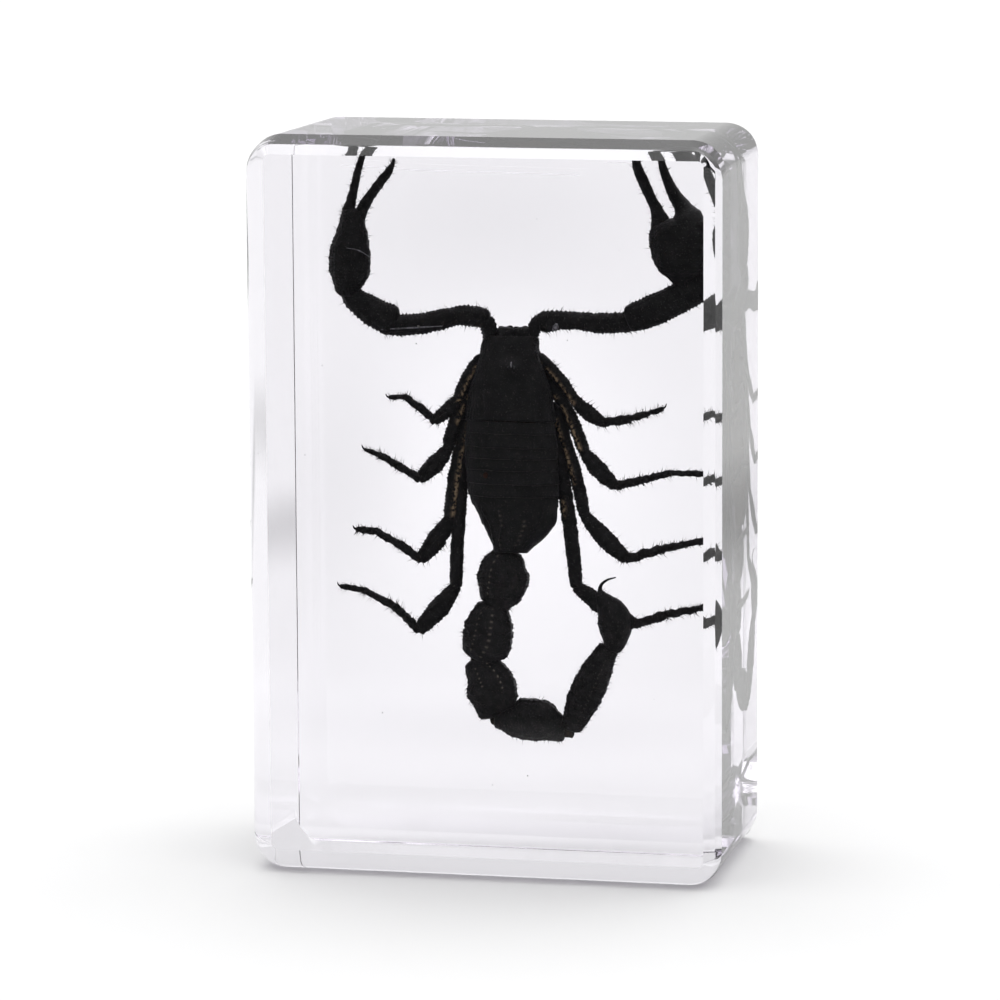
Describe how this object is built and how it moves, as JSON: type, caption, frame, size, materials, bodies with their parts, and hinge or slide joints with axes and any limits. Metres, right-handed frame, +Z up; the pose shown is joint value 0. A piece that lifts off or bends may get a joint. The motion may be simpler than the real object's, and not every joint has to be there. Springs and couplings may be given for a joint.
{
  "type": "scorpion in resin block",
  "caption": "Upright clear cast resin block with bevelled, polished edges and a dark dried scorpion sealed near its back face.",
  "frame": {"origin": "middle of the rectangle that the block stands in, on the surface it stands on", "axes": "+Z up along the block's longest side, -Y out of the broad front face that the scorpion is seen through, +X to the right seen from the front"},
  "size_m": [0.0486, 0.0254, 0.075],
  "materials": {
    "casting_resin": "water-clear cast resin, all faces polished, see-through"
  },
  "bodies": {
    "root": {"resin_block": "casting_resin"}
  },
  "joints": []
}
